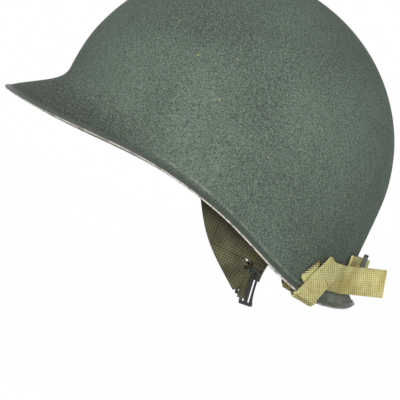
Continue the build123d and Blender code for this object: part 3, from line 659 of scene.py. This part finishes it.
def loose_thread(shape, tree, across, down, angle, length):
    """One frayed yarn lying on the webbing, turned by that angle."""
    spot, normal = seen_at(tree, across, down)
    along = right_of_picture() * cos(angle) + top_of_picture() * sin(angle)
    along = (along - normal * along.dot(normal)).normalized()
    turn = Matrix((along, normal.cross(along), normal)).transposed().to_4x4()
    made = bmesh.ops.create_icosphere(shape, subdivisions=2, radius=0.5)["verts"]
    bmesh.ops.scale(shape, vec=Vector(THREAD_SIZES) * length, verts=made)
    for vertex in made:
        vertex.co.z += THREAD_CURL * length * (vertex.co.x / length) ** 2
    bmesh.ops.transform(shape, matrix=Matrix.Translation(spot) @ turn, verts=made)


def add_piece(name, shape, material):
    """A finished piece of that shape and material, at the origin."""
    bmesh.ops.recalc_face_normals(shape, faces=shape.faces)
    mesh = bpy.data.meshes.new(name)
    shape.to_mesh(mesh)
    shape.free()
    for polygon in mesh.polygons:
        polygon.use_smooth = True
    mesh.materials.append(material)
    piece = bpy.data.objects.new(name, mesh)
    bpy.context.scene.collection.objects.link(piece)
    return piece


def surface_tree(name):
    """What a ray from the camera can hit of that node."""
    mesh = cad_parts[name].data
    return BVHTree.FromPolygons(
        [vertex.co for vertex in mesh.vertices], [polygon.vertices for polygon in mesh.polygons]
    )


def sewn_to_strap(piece):
    """The piece moves with the pot."""
    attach(piece, "pot")


class HELMET_OT_pot(bpy.types.Operator):
    """Paint the steel shell and finish its edging and bails"""

    bl_idname = "helmet.pot"
    bl_label = "Steel pot"

    def execute(self, context):
        scuffs = groups()[1]
        give(painted_steel(context.scene.helmet_paint, scuffs), "steel_shell")
        give(bare_edging(scuffs), "rim_edging")
        wire = metal(
            "Bail wire", WIRE_DARK, WIRE_BRIGHT, roughness=0.5, metallic=0.8, amount=0.4,
            scuffs=scuffs,
        )
        give(wire, "left_bail", "right_bail")
        return {"FINISHED"}


class HELMET_OT_liner(bpy.types.Operator):
    """Finish the fibre liner and its small metal pieces"""

    bl_idname = "helmet.liner"
    bl_label = "Liner"

    def execute(self, context):
        colour = context.scene.helmet_paint.fibre
        fibre = plain("Moulded fibre", colour, FIBRE_DARK, roughness=0.75, scale=60.0)
        give(fibre, "liner_shell")
        give(
            blackened(), "front_eyelet", "band_rivets", "band_washers", "nape_rivets",
            "left_yoke_rivets", "right_yoke_rivets", "sweatband_clips",
        )
        return {"FINISHED"}


class HELMET_OT_suspension(bpy.types.Operator):
    """Finish the webbing, the lace and the leather inside the liner"""

    bl_idname = "helmet.suspension"
    bl_label = "Suspension"

    def execute(self, context):
        cloth = context.scene.helmet_cloth
        band = webbing(
            "Olive webbing", cloth.olive, OLIVE_FADED, OLIVE_GAP, ribs=1 / cloth.yarn, turn=0.0,
            weave=groups()[0],
        )
        give(band, "suspension_band", "crown_webs", "nape_strap", "left_yoke_ends", "right_yoke_ends")
        give(plain("Cotton lace", LACE, LACE_DARK, roughness=0.9, scale=400.0), "crown_lace")
        hide = plain("Sweatband leather", cloth.leather, LEATHER_DARK, roughness=0.55, scale=80.0)
        give(hide, "sweatband")
        return {"FINISHED"}


class HELMET_OT_yokes(bpy.types.Operator):
    """Finish both yokes and their buckles"""

    bl_idname = "helmet.yokes"
    bl_label = "Yokes"

    def execute(self, context):
        cloth = context.scene.helmet_cloth
        # The yoke webbing gets painted shade towards its top
        leg = webbing(
            "Yoke webbing", YOKE_YARN, cloth.olive, YOKE_GAP, ribs=0.72 / cloth.yarn, turn=0.7,
            weave=groups()[0], gaps=0.25, painted_shade=0.75,
        )
        give(leg, "left_yoke", "right_yoke")
        give(blackened(), "left_yoke_buckle", "right_yoke_buckle")
        return {"FINISHED"}


class HELMET_OT_chinstraps(bpy.types.Operator):
    """Finish the chin straps and their buckle, and sew the left strap"""

    bl_idname = "helmet.chinstraps"
    bl_label = "Chin straps"

    def execute(self, context):
        cloth = context.scene.helmet_cloth
        khaki = webbing(
            "Khaki webbing", cloth.khaki, cloth.tan, KHAKI_GAP, ribs=0.85 / cloth.yarn, turn=-0.45,
            weave=groups()[0],
        )
        give(khaki, "left_chinstrap", "right_chinstrap")
        give(blackened(), "chinstrap_buckle")
        shape = bmesh.new()
        tree = surface_tree("left_chinstrap")
        stitch_row(shape, tree, STITCH_START, STITCH_END, cloth.stitch)
        thread = plain("Strap thread", THREAD, THREAD_DARK, roughness=0.9, scale=600.0)
        sewn_to_strap(add_piece("strap_stitching", shape, thread))
        shape = bmesh.new()
        loose = surface_tree("right_chinstrap")
        for across, down, angle in THREADS:
            loose_thread(shape, loose, across, down, radians(angle), 2 * cloth.stitch)
        sewn_to_strap(add_piece("frayed_threads", shape, thread))
        shape = bmesh.new()
        shell = surface_tree("steel_shell")
        folded_strip(shape, shell, FOLD_PLACES, FOLD_WIDTH, FOLD_WALL, FOLD_LIFT)
        sewn_to_strap(add_piece("strap_fold", shape, khaki))
        return {"FINISHED"}


def seen_directly(tree):
    """One for rays that the camera, a mirror or glass sends out."""
    path = tree.nodes.new("ShaderNodeLightPath")
    mirror = sums(tree, "MAXIMUM", path.outputs["Is Glossy Ray"], path.outputs["Is Transmission Ray"])
    return sums(tree, "MAXIMUM", path.outputs["Is Camera Ray"], mirror)


def pale_floor(height, size):
    """A level floor, nearly white where it is looked at, that keeps a faint shadow."""
    material, tree, shader, _ = new_material("Pale floor", roughness=0.9)
    shader.inputs["Base Color"].default_value = (*FLOOR_WHITE, 1)
    glow = tree.nodes.new("ShaderNodeEmission")
    both = tree.nodes.new("ShaderNodeMixShader")
    link(tree, times(tree, seen_directly(tree), FLOOR_GLOW), both.inputs[0])
    link(tree, shader.outputs[0], both.inputs[1])
    link(tree, glow.outputs[0], both.inputs[2])
    link(tree, both.outputs[0], tree.nodes["Material Output"].inputs[0])
    shape = bmesh.new()
    bmesh.ops.create_grid(shape, x_segments=1, y_segments=1, size=size)
    bmesh.ops.translate(shape, vec=(0, 0, height), verts=shape.verts)
    return add_piece("Floor", shape, material)


def soft_lamp(name, place, size, power):
    """A square lamp at that place, aimed at the helmet."""
    lamp = bpy.data.lights.new(name, "AREA")
    lamp.size = size
    lamp.energy = power
    thing = bpy.data.objects.new(name, lamp)
    thing.location = place
    aim = LAMP_AIM - place
    thing.rotation_euler = aim.to_track_quat("-Z", "Y").to_euler()
    bpy.context.scene.collection.objects.link(thing)


class HELMET_OT_stage(bpy.types.Operator):
    """Set up the floor, the lamps and the camera"""

    bl_idname = "helmet.stage"
    bl_label = "Stage"

    def execute(self, context):
        scene = context.scene
        scene.view_settings.view_transform = "Standard"
        side, up, away = right_of_picture(), top_of_picture(), Vector((0, 1, 0))
        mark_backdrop(pale_floor(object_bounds()[0][2] - FLOOR_DROP, FLOOR_SIZE))
        world = bpy.data.worlds.new("Studio")
        world.use_nodes = True
        light = world.node_tree.nodes["Background"]
        light.inputs[0].default_value = (1, 1, 1, 1)
        direct = seen_directly(world.node_tree)
        strength = between(world.node_tree, direct, least=WORLD_LIGHT, most=1.0)
        link(world.node_tree, strength, light.inputs[1])
        scene.world = world
        for name, across, along, rise, size, power in LAMPS:
            place = Vector((0, along, LAMP_HEIGHT)) + side * across + up * rise
            soft_lamp(name, place, size, power)
        camera = bpy.data.objects.new("Camera", bpy.data.cameras.new("Camera"))
        camera.data.sensor_width = SENSOR
        camera.data.lens = SENSOR * -EYE.y / FRAME_WIDTH
        camera.matrix_world = (
            Matrix.Translation(EYE) @ Matrix((side, up, -away)).transposed().to_4x4()
        )
        scene.collection.objects.link(camera)
        scene.camera = camera
        return {"FINISHED"}


class HELMET_PT_panel(bpy.types.Panel):
    """Lists the helmet's settings and a button for each step"""

    bl_idname = "HELMET_PT_panel"
    bl_label = "Steel pot helmet"
    bl_space_type = "VIEW_3D"
    bl_region_type = "UI"
    bl_category = "Helmet"

    def draw(self, context):
        for group in (context.scene.helmet_paint, context.scene.helmet_cloth):
            for name in group.bl_rna.properties.keys():
                if name not in ("rna_type", "name"):
                    self.layout.prop(group, name)
        for operator in OPERATORS:
            self.layout.operator(operator.bl_idname)


OPERATORS = (
    HELMET_OT_pot,
    HELMET_OT_liner,
    HELMET_OT_suspension,
    HELMET_OT_yokes,
    HELMET_OT_chinstraps,
    HELMET_OT_stage,
)
CLASSES = (HelmetPaint, HelmetCloth, *OPERATORS, HELMET_PT_panel)


def register():
    for kind in CLASSES:
        bpy.utils.register_class(kind)
    bpy.types.Scene.helmet_paint = PointerProperty(type=HelmetPaint)
    bpy.types.Scene.helmet_cloth = PointerProperty(type=HelmetCloth)


def unregister():
    del bpy.types.Scene.helmet_cloth
    del bpy.types.Scene.helmet_paint
    for kind in reversed(CLASSES):
        bpy.utils.unregister_class(kind)


def main():
    register()
    bpy.ops.helmet.pot()
    bpy.ops.helmet.liner()
    bpy.ops.helmet.suspension()
    bpy.ops.helmet.yokes()
    bpy.ops.helmet.chinstraps()
    bpy.ops.helmet.stage()
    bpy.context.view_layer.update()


if __name__ == "__main__":
    main()
